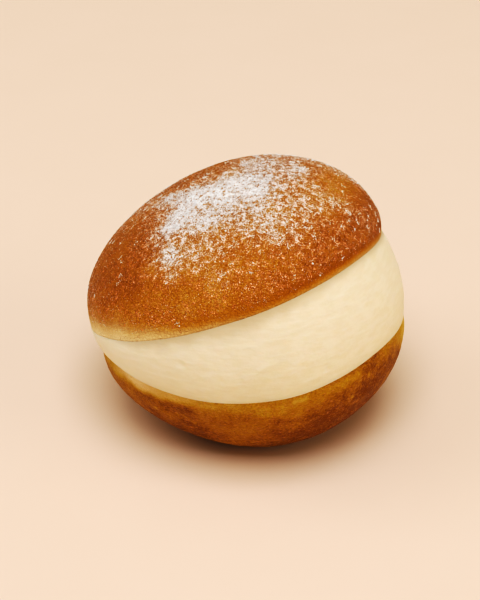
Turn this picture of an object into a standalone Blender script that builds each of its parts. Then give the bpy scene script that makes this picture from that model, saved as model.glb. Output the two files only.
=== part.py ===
"""Cream-filled doughnut: a round yeast bun, sliced across, opened like a clam and filled.

The whole bun is one turned form. It is sliced on a slightly tilted plane, the upper half
is turned up about a hinge line at the -X side, and the cream fills the wedge between
the two cut faces. Metres, +Z up, standing on the flat spot under the lower half.
"""
import math

import bpy
from mathutils import Matrix, Vector

# The whole bun before it was sliced.
BUN_RADIUS = 0.0440
BASE_SPOT_RADIUS = 0.0155
EQUATOR_HEIGHT = 0.0334
CROWN_RISE = 0.0269
CROWN_HEIGHT = EQUATOR_HEIGHT + CROWN_RISE
SIDE_ROUNDNESS = (1.80, 1.60)
DOME_ROUNDNESS = (1.81, 1.78)
BASE_SHIFT = Vector((0.0030, -0.0003, 0.0))
CROWN_LEAN = Vector((0.0043, 0.0080, 0.0))

# The cut, and how far the upper half stands open.
CUT_HEIGHT = 0.0293
CUT_SLOPE_X = 0.120
CUT_SLOPE_Y = 0.010
OPEN_ANGLE = math.radians(16.4)
HINGE_GAP = 0.0020
CAP_SLIDE = Vector((-0.0013, -0.0017, 0.0))
HEEL_EDGE_ROUNDING = 0.0003
CAP_EDGE_ROUNDING = 0.0012

# Unevenness: each wave is (lobes round the bun, height of a crest, turn of the first crest).
BOTTOM_CUT_WAVES = ((2, 0.0003, 1.43), (3, 0.0006, 0.37), (4, 0.0006, 0.21))
TOP_CUT_WAVES = ((2, 0.0003, 0.88), (3, 0.0004, -0.52), (4, 0.0002, 1.33))
BOTTOM_SIDE_WAVES = ((1, 0.0003, 0.35), (2, 0.0027, 1.80), (3, 0.0011, -1.61))
TOP_SIDE_WAVES = ((2, 0.0007, -0.52),)
# The lower cut rises a little at one place: (turn, how far it reaches either way, height).
CUT_LIP = (math.radians(250.0), math.radians(48.0), 0.00105)
CRUST_SWELLS = ((5, 0.00010, 0.90), (7, 0.00008, 2.40), (11, 0.00006, 0.30))
SWELL_TWIST = 55.0

# The cream.
TOUCH_GAP = 0.0003
CREAM_INSET_BELOW = -0.0002
CREAM_INSET_ABOVE = 0.0008
CREAM_BULGE = 0.085
CREAM_FOOT_ROUNDING = 0.0003
CREAM_TOP_ROUNDING = 0.0008
CREAM_BLANK_HEIGHT = 0.010

# Mesh fineness.
TURN_STEPS = 72
CAP_WALL_RINGS = 18
HEEL_WALL_RINGS = 14
CREAM_WALL_RINGS = 10
EDGE_RINGS = 3
FACE_SHARES = (0.88, 0.60, 0.30)
MERGE_DISTANCE = 0.00001
ON_AXIS = 1e-7
RIM_SEARCH_STEPS = 12

CRUST_COLOR = (0.42, 0.10, 0.008, 1.0)
HEEL_COLOR = (0.30, 0.075, 0.006, 1.0)
CREAM_COLOR = (0.86, 0.70, 0.45, 1.0)


def clear_scene():
    """Remove whatever the file holds."""
    for item in list(bpy.data.objects):
        bpy.data.objects.remove(item, do_unlink=True)


def make_material(name, color, roughness):
    """A plain Principled material for one piece."""
    material = bpy.data.materials.new(name)
    material.use_nodes = True
    shader = material.node_tree.nodes["Principled BSDF"]
    shader.inputs["Base Color"].default_value = color
    shader.inputs["Roughness"].default_value = roughness
    shader.inputs["Metallic"].default_value = 0.0
    material.diffuse_color = color
    return material


def waves(turn, terms):
    """Height of a sum of waves round the bun at one turn about its axis."""
    return sum(height * math.cos(lobes * turn - crest) for lobes, height, crest in terms)


def bottom_cut_rise(turn):
    """How far the lower half's cut stands above its plane at the crust, at one turn."""
    middle, reach, height = CUT_LIP
    away = abs(math.remainder(turn - middle, 2.0 * math.pi)) / reach
    lip = height * math.cos(0.5 * math.pi * min(away, 1.0)) ** 2
    return waves(turn, BOTTOM_CUT_WAVES) + lip


def top_cut_rise(turn):
    """How far the upper half's cut stands above its plane at the crust, at one turn."""
    return waves(turn, TOP_CUT_WAVES)


def wall_radius(height):
    """Radius of the whole turned bun at a height above its base."""
    if height < EQUATOR_HEIGHT:
        below = 1.0 - max(height, 0.0) / EQUATOR_HEIGHT
        bulge = (1.0 - below ** SIDE_ROUNDNESS[0]) ** (1.0 / SIDE_ROUNDNESS[1])
        return BASE_SPOT_RADIUS + (BUN_RADIUS - BASE_SPOT_RADIUS) * bulge
    above = min((height - EQUATOR_HEIGHT) / CROWN_RISE, 1.0)
    return BUN_RADIUS * (1.0 - above ** DOME_ROUNDNESS[0]) ** (1.0 / DOME_ROUNDNESS[1])


def crust_swell(turn, height):
    """Gentle humps and hollows of the baked crust, fading out at the crown and the base."""
    fade = math.sin(math.pi * min(max(height / CROWN_HEIGHT, 0.0), 1.0))
    return fade * waves(turn + SWELL_TWIST * height, CRUST_SWELLS)


def cut_rim(turn, cut_rise):
    """Height of the cut at the crust, where the tilted cut meets the bun's wall."""
    height = CUT_HEIGHT
    for _ in range(RIM_SEARCH_STEPS):
        radius = wall_radius(height)
        height = CUT_HEIGHT + cut_rise(turn)
        height += radius * (CUT_SLOPE_X * math.cos(turn) + CUT_SLOPE_Y * math.sin(turn))
    return height


def cut_height(turn, share, cut_rise):
    """Height of the cut face at a share of the way from the axis out to the crust."""
    radius = share * wall_radius(cut_rim(turn, cut_rise))
    slope = CUT_SLOPE_X * math.cos(turn) + CUT_SLOPE_Y * math.sin(turn)
    return CUT_HEIGHT + radius * slope + share * share * cut_rise(turn)


def heel_point(turn, share, level):
    """A point of the lower half, from the base (level 0) up to the cut (level 1)."""
    height = level * cut_height(turn, share, bottom_cut_rise)
    mid_side = 4.0 * level * (1.0 - level)
    radius = wall_radius(height) + mid_side * waves(turn, BOTTOM_SIDE_WAVES)
    radius += level * crust_swell(turn, height)
    around = Vector((math.cos(turn), math.sin(turn), 0.0)) * radius * share
    return around + BASE_SHIFT * (1.0 - level) + Vector((0.0, 0.0, height))


def cap_point(turn, share, level):
    """A point of the upper half before it is opened, from the cut (0) up to the crown (1)."""
    rim = cut_height(turn, share, top_cut_rise)
    height = rim + (CROWN_HEIGHT - rim) * level
    mid_side = 4.0 * level * (1.0 - level)
    radius = wall_radius(height) + mid_side * waves(turn, TOP_SIDE_WAVES)
    radius += (1.0 - level) * crust_swell(turn, height)
    around = Vector((math.cos(turn), math.sin(turn), 0.0)) * radius * share
    return around + CROWN_LEAN * level + Vector((0.0, 0.0, height))


def hinge_frame():
    """The hinge point, the upright of the cut plane and the turn that opens the bun."""
    hinge = Vector((-BUN_RADIUS, 0.0, CUT_HEIGHT - CUT_SLOPE_X * BUN_RADIUS))
    upright = Vector((-CUT_SLOPE_X, -CUT_SLOPE_Y, 1.0)).normalized()
    axis = Vector((1.0, 0.0, 0.0)).cross(upright).normalized()
    return hinge, upright, Matrix.Rotation(OPEN_ANGLE, 4, axis)


def opened(point):
    """Where a point of the closed bun's upper half lies once the bun is open."""
    hinge, upright, turn = hinge_frame()
    return turn @ (point - hinge) + hinge + upright * HINGE_GAP + CAP_SLIDE


def cream_point(turn, share, level):
    """A point of the filling, from the lower cut face (level 0) to the upper (level 1)."""
    _, upright, lift = hinge_frame()
    below_share = share * (1.0 - CREAM_INSET_BELOW / BUN_RADIUS)
    above_share = share * (1.0 - CREAM_INSET_ABOVE / BUN_RADIUS)
    low = heel_point(turn, below_share, 1.0) + upright * TOUCH_GAP
    high = opened(cap_point(turn, above_share, 0.0)) - (lift @ upright) * TOUCH_GAP
    outward = Vector((math.cos(turn), math.sin(turn), 0.0))
    bulge = CREAM_BULGE * (high - low).length * 4.0 * level * (1.0 - level)
    return low.lerp(high, level) + outward * bulge * share


def rounded_edge(radius, height, rounding, side):
    """Points of a rounded outer edge, from the flat face at a height round to the wall."""
    points = []
    for ring in range(EDGE_RINGS + 1):
        angle = 0.5 * math.pi * ring / EDGE_RINGS
        inward = rounding * (1.0 - math.sin(angle))
        points.append((radius - inward, height + side * rounding * (1.0 - math.cos(angle))))
    return points


def face_line(radius, height):
    """Points of a flat face from its rim in to the axis."""
    return [(share * radius, height) for share in FACE_SHARES] + [(0.0, height)]


def heel_profile():
    """Half outline of the lower half: cut face, rounded edge, wall, and the flat base spot."""
    rim = wall_radius(CUT_HEIGHT)
    edge = rounded_edge(rim, CUT_HEIGHT, HEEL_EDGE_ROUNDING, -1.0)
    wall_top = CUT_HEIGHT - HEEL_EDGE_ROUNDING
    wall = []
    for ring in range(1, HEEL_WALL_RINGS + 1):
        height = wall_top * (1.0 - math.sin(0.5 * math.pi * ring / HEEL_WALL_RINGS))
        wall.append((wall_radius(height), height))
    base = [(0.5 * BASE_SPOT_RADIUS, 0.0), (0.0, 0.0)]
    return face_line(rim, CUT_HEIGHT)[::-1] + edge + wall + base


def cap_profile():
    """Half outline of the upper half: crown, dome, rounded edge and cut face."""
    rim = wall_radius(CUT_HEIGHT)
    edge = rounded_edge(rim, CUT_HEIGHT, CAP_EDGE_ROUNDING, 1.0)
    wall_foot = CUT_HEIGHT + CAP_EDGE_ROUNDING
    wall = [(0.0, CROWN_HEIGHT)]
    for ring in range(1, CAP_WALL_RINGS):
        rise = math.cos(0.5 * math.pi * ring / CAP_WALL_RINGS)
        height = wall_foot + (CROWN_HEIGHT - wall_foot) * rise
        wall.append((wall_radius(height), height))
    return wall + edge[::-1] + face_line(rim, CUT_HEIGHT)


def cream_profile():
    """Half outline of the filling's plain round blank, of the bun's radius."""
    top = rounded_edge(BUN_RADIUS, CREAM_BLANK_HEIGHT, CREAM_TOP_ROUNDING, -1.0)
    foot = rounded_edge(BUN_RADIUS, 0.0, CREAM_FOOT_ROUNDING, 1.0)
    wall_top = CREAM_BLANK_HEIGHT - CREAM_TOP_ROUNDING
    wall = []
    for ring in range(1, CREAM_WALL_RINGS):
        drop = (wall_top - CREAM_FOOT_ROUNDING) * ring / CREAM_WALL_RINGS
        wall.append((BUN_RADIUS, wall_top - drop))
    above = face_line(BUN_RADIUS, CREAM_BLANK_HEIGHT)[::-1]
    return above + top + wall + foot[::-1] + face_line(BUN_RADIUS, 0.0)


def turned_mesh(name, profile):
    """Turn a half outline about Z with a Screw modifier and return the closed mesh."""
    outline = bpy.data.meshes.new(name + "_outline")
    corners = [(radius, 0.0, height) for radius, height in profile]
    edges = [(index, index + 1) for index in range(len(corners) - 1)]
    outline.from_pydata(corners, edges, [])
    blank = bpy.data.objects.new(name + "_blank", outline)
    bpy.context.scene.collection.objects.link(blank)
    screw = blank.modifiers.new("Turn", "SCREW")
    screw.angle = 2.0 * math.pi
    screw.steps = TURN_STEPS
    screw.render_steps = TURN_STEPS
    screw.use_merge_vertices = True
    screw.merge_threshold = MERGE_DISTANCE
    graph = bpy.context.evaluated_depsgraph_get()
    mesh = bpy.data.meshes.new_from_object(blank.evaluated_get(graph))
    mesh.name = name
    bpy.data.objects.remove(blank, do_unlink=True)
    bpy.data.meshes.remove(outline)
    return mesh


def shape_mesh(mesh, blank_radius, blank_level, place):
    """Move every point of a turned blank to its place in the uneven piece."""
    for vertex in mesh.vertices:
        radius = math.hypot(vertex.co.x, vertex.co.y)
        turn = math.atan2(vertex.co.y, vertex.co.x)
        share = 0.0 if radius < ON_AXIS else radius / blank_radius(vertex.co.z)
        vertex.co = place(turn, share, blank_level(vertex.co.z))
    mesh.shade_smooth()
    mesh.update()


def add_piece(name, mesh, material, collection, parent):
    """Link one finished piece into the doughnut's collection."""
    piece = bpy.data.objects.new(name, mesh)
    mesh.materials.clear()
    mesh.materials.append(material)
    collection.objects.link(piece)
    piece.parent = parent
    return piece


def build_bun_bottom(collection, parent):
    """The lower half of the bun, from its flat base spot up to the cut."""
    mesh = turned_mesh("bun_bottom", heel_profile())
    shape_mesh(mesh, wall_radius, lambda height: height / CUT_HEIGHT, heel_point)
    crust = make_material("bottom_crust", HEEL_COLOR, 0.55)
    return add_piece("bun_bottom", mesh, crust, collection, parent)


def build_bun_top(collection, parent):
    """The upper half of the bun, with its origin on the hinge line it is opened about."""
    hinge, upright, lift = hinge_frame()
    rise = CROWN_HEIGHT - CUT_HEIGHT
    mesh = turned_mesh("bun_top", cap_profile())
    shape_mesh(mesh, wall_radius, lambda height: (height - CUT_HEIGHT) / rise, cap_point)
    mesh.transform(Matrix.Translation(-hinge))
    crust = make_material("top_crust", CRUST_COLOR, 0.45)
    piece = add_piece("bun_top", mesh, crust, collection, parent)
    piece.location = hinge + upright * HINGE_GAP + CAP_SLIDE
    piece.rotation_euler = lift.to_euler()
    return piece


def build_cream(collection, parent):
    """The cream wedge between the two cut faces, right through the bun."""
    mesh = turned_mesh("cream", cream_profile())
    shape_mesh(
        mesh,
        lambda height: BUN_RADIUS,
        lambda height: height / CREAM_BLANK_HEIGHT,
        cream_point,
    )
    filling = make_material("cream_filling", CREAM_COLOR, 0.5)
    return add_piece("cream", mesh, filling, collection, parent)


def centre_on_floor(pieces, parent):
    """Slide the parent so that the pieces' common box stands centred on the origin."""
    bpy.context.view_layer.update()
    corners = [piece.matrix_world @ vertex.co for piece in pieces for vertex in piece.data.vertices]
    for axis in (0, 1):
        along = [corner[axis] for corner in corners]
        parent.location[axis] = -0.5 * (min(along) + max(along))


def main():
    """Build the doughnut's three pieces in their own collection."""
    clear_scene()
    collection = bpy.data.collections.new("cream_filled_doughnut")
    bpy.context.scene.collection.children.link(collection)
    centre = bpy.data.objects.new("doughnut_centre", None)
    collection.objects.link(centre)
    pieces = [
        build_bun_bottom(collection, centre),
        build_cream(collection, centre),
        build_bun_top(collection, centre),
    ]
    centre_on_floor(pieces, centre)


main()
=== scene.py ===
"""Looks of a cream-filled doughnut: a sliced and opened yeast bun, its cream and its powdered sugar.

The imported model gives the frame. The bun's form is worked out again from its driving sizes, in
finer steps than the solids have, and relief, browning and sugar are laid over it.
Metres, +Z up, except where a name or a docstring says millimetres.
"""
import logging
import math
from collections.abc import Callable
from dataclasses import dataclass, replace
from enum import Enum
from functools import partial

import bpy
import numpy as np
from mathutils import Matrix, Vector, noise
from mathutils.bvhtree import BVHTree


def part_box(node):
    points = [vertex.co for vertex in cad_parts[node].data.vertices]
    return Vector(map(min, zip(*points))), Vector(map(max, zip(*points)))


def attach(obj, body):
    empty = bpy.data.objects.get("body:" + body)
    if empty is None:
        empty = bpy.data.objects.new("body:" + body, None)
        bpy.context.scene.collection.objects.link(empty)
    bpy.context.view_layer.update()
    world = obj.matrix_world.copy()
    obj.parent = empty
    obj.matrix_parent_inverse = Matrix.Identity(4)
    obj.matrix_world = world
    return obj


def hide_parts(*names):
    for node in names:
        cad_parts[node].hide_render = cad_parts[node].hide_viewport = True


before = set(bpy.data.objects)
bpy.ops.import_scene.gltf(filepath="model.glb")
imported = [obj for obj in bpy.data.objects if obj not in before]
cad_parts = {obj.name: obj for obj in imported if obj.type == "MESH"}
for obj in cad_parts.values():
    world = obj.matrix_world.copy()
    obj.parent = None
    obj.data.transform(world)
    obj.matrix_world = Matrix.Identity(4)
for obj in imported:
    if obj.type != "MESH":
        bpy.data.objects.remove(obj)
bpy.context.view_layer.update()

Array = np.ndarray
Pair = tuple[float, float]
Triple = tuple[float, float, float]
Span = tuple[Pair, Pair]
Table = tuple[tuple[float, ...], ...]
Mesh = bpy.types.Mesh
Material = bpy.types.Material
Socket = bpy.types.NodeSocket
Feed = Socket | float | tuple[float, ...]

MM = 0.001
BODY = "root"
SEAM_TURN = 130.0
QUARTER = 0.5 * math.pi
WALL_STEPS = 2000
TINY = 1e-12
CLOUD_FALL, CLOUD_STEP = 0.9, 2.0
PATCH_SIZE, PATCH_BAKED = 11.0 * MM, 0.05
LOG = logging.getLogger("doughnut")


class Half(Enum):
    """The two halves of the bun, each with its node's name in the frame."""

    TOP = "bun_top"
    BOTTOM = "bun_bottom"


def display(*color: float) -> Triple:
    """The linear colour that a shader takes for a screen colour of 0 to 255."""
    shares = [shade / 255.0 for shade in color]
    return tuple(s / 12.92 if s < 0.04045 else ((s + 0.055) / 1.055) ** 2.4 for s in shares)


def eased(low: float, high: float, values: Array) -> Array:
    """Rise smoothly from 0 at the low value to 1 at the high one."""
    share = np.clip((values - low) / (high - low), 0.0, 1.0)
    return share * share * (3.0 - 2.0 * share)


def cloud(points: Array, size: float, octaves: int, seed: float) -> Array:
    """Cloudy noise of about -1 to 1 at places in space.

    Args:
        points: the places.
        size: how large the cloud's largest lumps are.
        octaves: how many finer steps it has.
        seed: moves to another part of the cloud.

    Returns:
        One value for each place.
    """
    places = points.reshape(-1, 3) / size + seed
    found = [noise.fractal(place, CLOUD_FALL, CLOUD_STEP, octaves) for place in places.tolist()]
    return np.array(found).reshape(points.shape[:-1])


def looked_up(table: Table, turns: Array) -> list[Array]:
    """The table's columns at some turns, in degrees; its first column holds the rows' own turns."""
    columns = np.array(table).T
    return [np.interp(turns, columns[0], column) for column in columns[1:]]


def patched(baked: Array, points: Array, seed: float) -> Array:
    """Browning with faint broad patches, kept between 0 and 1."""
    return np.clip(baked + PATCH_BAKED * cloud(points, PATCH_SIZE, 2, seed), 0.0, 1.0)


def edge_round(radius: float, size: float, rings: int) -> tuple[Array, Array, Array]:
    """Rings that round an edge, from the face to the wall: radii, drops and ways along the round."""
    arc = np.linspace(0.0, QUARTER, rings + 1)
    return radius - size * (1.0 - np.sin(arc)), size * (1.0 - np.cos(arc)), size * arc


def cell_corners(grid: Array) -> Array:
    """A grid's values at the four corners of each of its cells, in order round the cell."""
    return np.stack([grid[:-1, :-1], grid[:-1, 1:], grid[1:, 1:], grid[1:, :-1]], axis=-1)


@dataclass(frozen=True)
class Stroke:
    """A soft mark laid from one place to another, in millimetres on a flat map of a surface."""

    start: Pair
    end: Pair
    half_width: float
    softness: float
    amount: float

    def laid(self, across: Array, up: Array) -> Array:
        """How much of the mark lies at places of the map.

        Args:
            across: the places' first map coordinate.
            up: the places' second map coordinate.

        Returns:
            The amount at each place.
        """
        run = np.array(self.end) - np.array(self.start)
        length = max(float(run @ run), TINY)
        east, north = across - self.start[0], up - self.start[1]
        share = np.clip((east * run[0] + north * run[1]) / length, 0.0, 1.0)
        far = np.hypot(east - share * run[0], north - share * run[1])
        inner, outer = self.half_width - self.softness, self.half_width + self.softness
        return self.amount * (1.0 - eased(inner, outer, far))


def strokes(*rows: tuple[float, ...]) -> tuple[Stroke, ...]:
    """Marks from rows of start, end (two numbers each), half width, softness and amount."""
    return tuple(Stroke(row[:2], row[2:4], *row[4:]) for row in rows)


def all_laid(marks: tuple[Stroke, ...], across: Array, up: Array) -> Array:
    """The sum of several marks at places of the map."""
    return sum(mark.laid(across, up) for mark in marks)


def left_bare(marks: tuple[Stroke, ...], across: Array, up: Array) -> Array:
    """The share that several marks leave uncovered at places of the map."""
    return math.prod(1.0 - mark.laid(across, up) for mark in marks)


@dataclass(frozen=True)
class BunForm:
    """The bun as it was baked, cut and opened: the same driving sizes as the solids have.

    Waves are rows of lobes round the bun, crest height and the first crest's turn. The lip is the
    turn of its middle, how far it reaches to each side, and its height. The offset leads from the
    bun's axis to the frame.
    """

    radius: float = 0.0440
    base_spot: float = 0.0155
    equator: float = 0.0334
    crown_rise: float = 0.0269
    side_roundness: Pair = (1.80, 1.60)
    dome_roundness: Pair = (1.81, 1.78)
    base_shift: Pair = (0.0030, -0.0003)
    crown_lean: Pair = (0.0043, 0.0080)
    cut: float = 0.0293
    cut_slope: Pair = (0.120, 0.010)
    open_angle: float = math.radians(16.4)
    hinge_gap: float = 0.0020
    cap_slide: Triple = (-0.0013, -0.0017, 0.0)
    bottom_cut_waves: Table = ((2, 0.0003, 1.43), (3, 0.0006, 0.37), (4, 0.0006, 0.21))
    top_cut_waves: Table = ((2, 0.0003, 0.88), (3, 0.0004, -0.52), (4, 0.0002, 1.33))
    bottom_side_waves: Table = ((1, 0.0003, 0.35), (2, 0.0027, 1.80), (3, 0.0011, -1.61))
    top_side_waves: Table = ((2, 0.0007, -0.52),)
    crust_swells: Table = ((5, 0.00010, 0.90), (7, 0.00008, 2.40), (11, 0.00006, 0.30))
    swell_twist: float = 55.0
    cut_lip: Triple = (math.radians(250.0), math.radians(48.0), 0.00105)
    touch_gap: float = 0.00001
    cream_inset_below: float = -0.0002
    cream_inset_above: float = -0.00010
    cream_bulge: float = 0.085
    rim_search_steps: int = 12
    offset: Triple = (0.0, 0.0, 0.0)

    @property
    def crown(self) -> float:
        """Height of the whole bun before it was cut."""
        return self.equator + self.crown_rise

    @property
    def rim(self) -> float:
        """Radius of the whole bun at the cut."""
        return float(self.wall_radius(np.array(self.cut)))

    @staticmethod
    def waves(turn: Array, rows: Table) -> Array:
        """Height of waves round the bun at some turns."""
        return sum(height * np.cos(lobes * turn - crest) for lobes, height, crest in rows)

    def wall_radius(self, height: Array) -> Array:
        """Radius of the whole turned bun.

        Args:
            height: heights above the base.

        Returns:
            The radius at each height.
        """
        below = 1.0 - np.clip(height / self.equator, 0.0, 1.0)
        bulge = (1.0 - below ** self.side_roundness[0]) ** (1.0 / self.side_roundness[1])
        side = self.base_spot + (self.radius - self.base_spot) * bulge
        above = np.clip((height - self.equator) / self.crown_rise, 0.0, 1.0)
        dome = self.radius * (1.0 - above ** self.dome_roundness[0]) ** (1.0 / self.dome_roundness[1])
        return np.where(height < self.equator, side, dome)

    def spaced(self, height: Array, rings: int) -> tuple[Array, Array]:
        """Space rings evenly along the wall.

        Args:
            height: heights down the wall, in fine steps.
            rings: how many rings are wanted.

        Returns:
            The rings' heights, and how far down the wall each lies.
        """
        steps = np.hypot(np.diff(self.wall_radius(height)), np.diff(height))
        along = np.append(0.0, np.cumsum(steps))
        wanted = np.linspace(0.0, along[-1], rings + 1)[1:]
        return np.interp(wanted, along, height), wanted

    def crust_swell(self, turn: Array, height: Array) -> Array:
        """How far gentle humps of the crust stand out; they fade at the crown and the base."""
        fade = np.sin(np.pi * np.clip(height / self.crown, 0.0, 1.0))
        return fade * self.waves(turn + self.swell_twist * height, self.crust_swells)

    def cut_rise(self, turn: Array, half: Half) -> Array:
        """How far a half's cut stands above its plane at the crust.

        Args:
            turn: turns about the bun's axis.
            half: the half.

        Returns:
            The rise at each turn.
        """
        if half is Half.TOP:
            return self.waves(turn, self.top_cut_waves)
        middle, reach, height = self.cut_lip
        away = np.abs((turn - middle + np.pi) % (2.0 * np.pi) - np.pi) / reach
        lip = height * np.cos(QUARTER * np.minimum(away, 1.0)) ** 2
        return self.waves(turn, self.bottom_cut_waves) + lip

    def cut_height(self, turn: Array, share: Array, half: Half) -> Array:
        """Height of a cut face.

        Args:
            turn: turns about the bun's axis.
            share: shares of the way from the axis out to the crust.
            half: the half whose cut face it is.

        Returns:
            The height at each place.
        """
        slope = self.cut_slope[0] * np.cos(turn) + self.cut_slope[1] * np.sin(turn)
        rise = self.cut_rise(turn, half)
        rim = self.cut + 0.0 * turn
        for _ in range(self.rim_search_steps):
            rim = self.cut + rise + self.wall_radius(rim) * slope
        radius = share * self.wall_radius(rim)
        return self.cut + radius * slope + share * share * rise

    def half_points(self, half: Half, turn: Array, share: Array, level: Array) -> Array:
        """Points of one half of the closed bun.

        Args:
            half: the half.
            turn: turns about the bun's axis.
            share: shares of the way from the axis out to the crust.
            level: 0 at the foot of the half to 1 at its top.

        Returns:
            The points.
        """
        cut = self.cut_height(turn, share, half)
        if half is Half.TOP:
            height, to_cut = cut + (self.crown - cut) * level, 1.0 - level
            waves, lean = self.top_side_waves, self.crown_lean
        else:
            height, to_cut = level * cut, level
            waves, lean = self.bottom_side_waves, self.base_shift
        radius = self.wall_radius(height) + 4.0 * level * (1.0 - level) * self.waves(turn, waves)
        radius = radius + to_cut * self.crust_swell(turn, height)
        east = np.cos(turn) * radius * share + lean[0] * (1.0 - to_cut)
        north = np.sin(turn) * radius * share + lean[1] * (1.0 - to_cut)
        return np.stack([east, north, height + 0.0 * radius], axis=-1)

    def upright(self) -> Array:
        """The direction square to the cut plane, upwards."""
        square = np.array([-self.cut_slope[0], -self.cut_slope[1], 1.0])
        return square / np.linalg.norm(square)

    def lift(self) -> Array:
        """The turn that opens the upper half, as a 3 by 3 matrix."""
        axis = Vector((1.0, 0.0, 0.0)).cross(Vector(self.upright()))
        return np.array(Matrix.Rotation(self.open_angle, 3, axis.normalized()))

    def opened(self, points: Array) -> Array:
        """Where points of the closed bun's upper half lie once it is turned up about the hinge."""
        hinge = np.array([-self.radius, 0.0, self.cut - self.cut_slope[0] * self.radius])
        return (points - hinge) @ self.lift().T + hinge + self.upright() * self.hinge_gap + self.cap_slide

    def cream_points(self, turn: Array, share: Array, level: Array) -> Array:
        """Points of the filling.

        Args:
            turn: turns about the bun's axis.
            share: shares of the way from the axis out to the wall.
            level: 0 at the lower cut face to 1 at the upper one.

        Returns:
            The points.
        """
        below = share * (1.0 - self.cream_inset_below / self.radius)
        above = share * (1.0 - self.cream_inset_above / self.radius)
        full = np.ones_like(level)
        low = self.half_points(Half.BOTTOM, turn, below, full) + self.upright() * self.touch_gap
        high = self.opened(self.half_points(Half.TOP, turn, above, 0.0 * full))
        high = high - (self.lift() @ self.upright()) * self.touch_gap
        height = np.linalg.norm(high - low, axis=-1)
        bulge = self.cream_bulge * height * 4.0 * level * (1.0 - level) * share
        outward = np.stack([np.cos(turn), np.sin(turn), 0.0 * turn], axis=-1)
        return low + (high - low) * level[..., None] + outward * bulge[..., None]


@dataclass(frozen=True)
class Rows:
    """Rings of a skin from its upper pole to its lower one, without the poles themselves.

    reach is the distance along the skin from the cut edge, in millimetres: above 0 on the wall
    and below 0 on a cut face.
    """

    share: Array
    level: Array
    reach: Array


class Skin:
    """A closed skin of rings round an axis, with what is painted and raised on it."""

    def __init__(self, rows: Rows, turns: int, place: Callable[[Array, Array, Array], Array]) -> None:
        """Lay out the rings.

        Args:
            rows: the rings' shares, levels and reaches.
            turns: points in each ring.
            place: gives points for turns, shares and levels.
        """
        turn = np.linspace(0.0, 2.0 * np.pi, turns, endpoint=False)
        self.turn, self.share = np.meshgrid(turn, rows.share)
        self.level = np.broadcast_to(rows.level[:, None], self.turn.shape)
        self.reach = np.broadcast_to(rows.reach[:, None], self.turn.shape)
        self.points = place(self.turn, self.share, self.level)
        self.marks: dict[str, Array] = {}

    @property
    def degrees(self) -> Array:
        """Turns in degrees, counted on from the seam at the back."""
        return (np.degrees(self.turn) - SEAM_TURN) % 360.0 + SEAM_TURN

    def normals(self) -> Array:
        """Outward directions at the rings' points.

        Returns:
            The directions, of length 1.
        """
        round_about = np.roll(self.points, -1, axis=1) - np.roll(self.points, 1, axis=1)
        square = np.cross(np.gradient(self.points, axis=0), round_about)
        return square / np.maximum(np.linalg.norm(square, axis=-1, keepdims=True), TINY)

    def raise_by(self, heights: Array) -> None:
        """Move every point along its normal by its own height."""
        self.points = self.points + self.normals() * heights[..., None]

    def shell(self) -> tuple[list, list]:
        """Close the rings with a pole in the middle of the first and of the last.

        Returns:
            The corners and the faces.
        """
        rows, turns = self.turn.shape
        pole = rows * turns
        corner = np.arange(pole).reshape(rows, turns)
        beside = np.roll(corner, -1, axis=1)
        quads = np.stack([corner[:-1], corner[1:], beside[1:], beside[:-1]], axis=-1)
        faces = quads.reshape(-1, 4).tolist()
        faces += [(pole, first, second) for first, second in zip(corner[0], beside[0])]
        faces += [(pole + 1, second, first) for first, second in zip(corner[-1], beside[-1])]
        poles = [self.points[0].mean(axis=0), self.points[-1].mean(axis=0)]
        return np.concatenate([self.points.reshape(-1, 3), poles]).tolist(), faces

    def mesh(self, name: str) -> Mesh:
        """Make the closed mesh.

        Args:
            name: the mesh's name.

        Returns:
            The mesh, smooth, with the painted marks as point attributes.
        """
        mesh = bpy.data.meshes.new(name)
        corners, faces = self.shell()
        mesh.from_pydata(corners, [], faces)
        for mark, values in self.marks.items():
            ends = [values[0].mean(), values[-1].mean()]
            layer = mesh.attributes.new(mark, "FLOAT", "POINT")
            layer.data.foreach_set("value", np.append(values.ravel(), ends))
        mesh.shade_smooth()
        mesh.update()
        return mesh


def placed(name: str, data: bpy.types.ID) -> bpy.types.Object:
    """Put an object in the scene.

    Args:
        name: the object's name.
        data: its mesh, lamp or lens.

    Returns:
        The object.
    """
    thing = bpy.data.objects.new(name, data)
    bpy.context.scene.collection.objects.link(thing)
    return thing


def add_piece(name: str, mesh: Mesh, material: Material, node: str = "") -> None:
    """Put a finished piece in the scene and tie it to the frame.

    Args:
        name: the piece's name.
        mesh: its mesh.
        material: its finish.
        node: the node that it stands for and hides, if any.
    """
    piece = placed(name, mesh)
    mesh.materials.append(material)
    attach(piece, BODY)
    if node:
        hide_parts(node)
    LOG.info("%s: %d faces", name, len(mesh.polygons))


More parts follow.
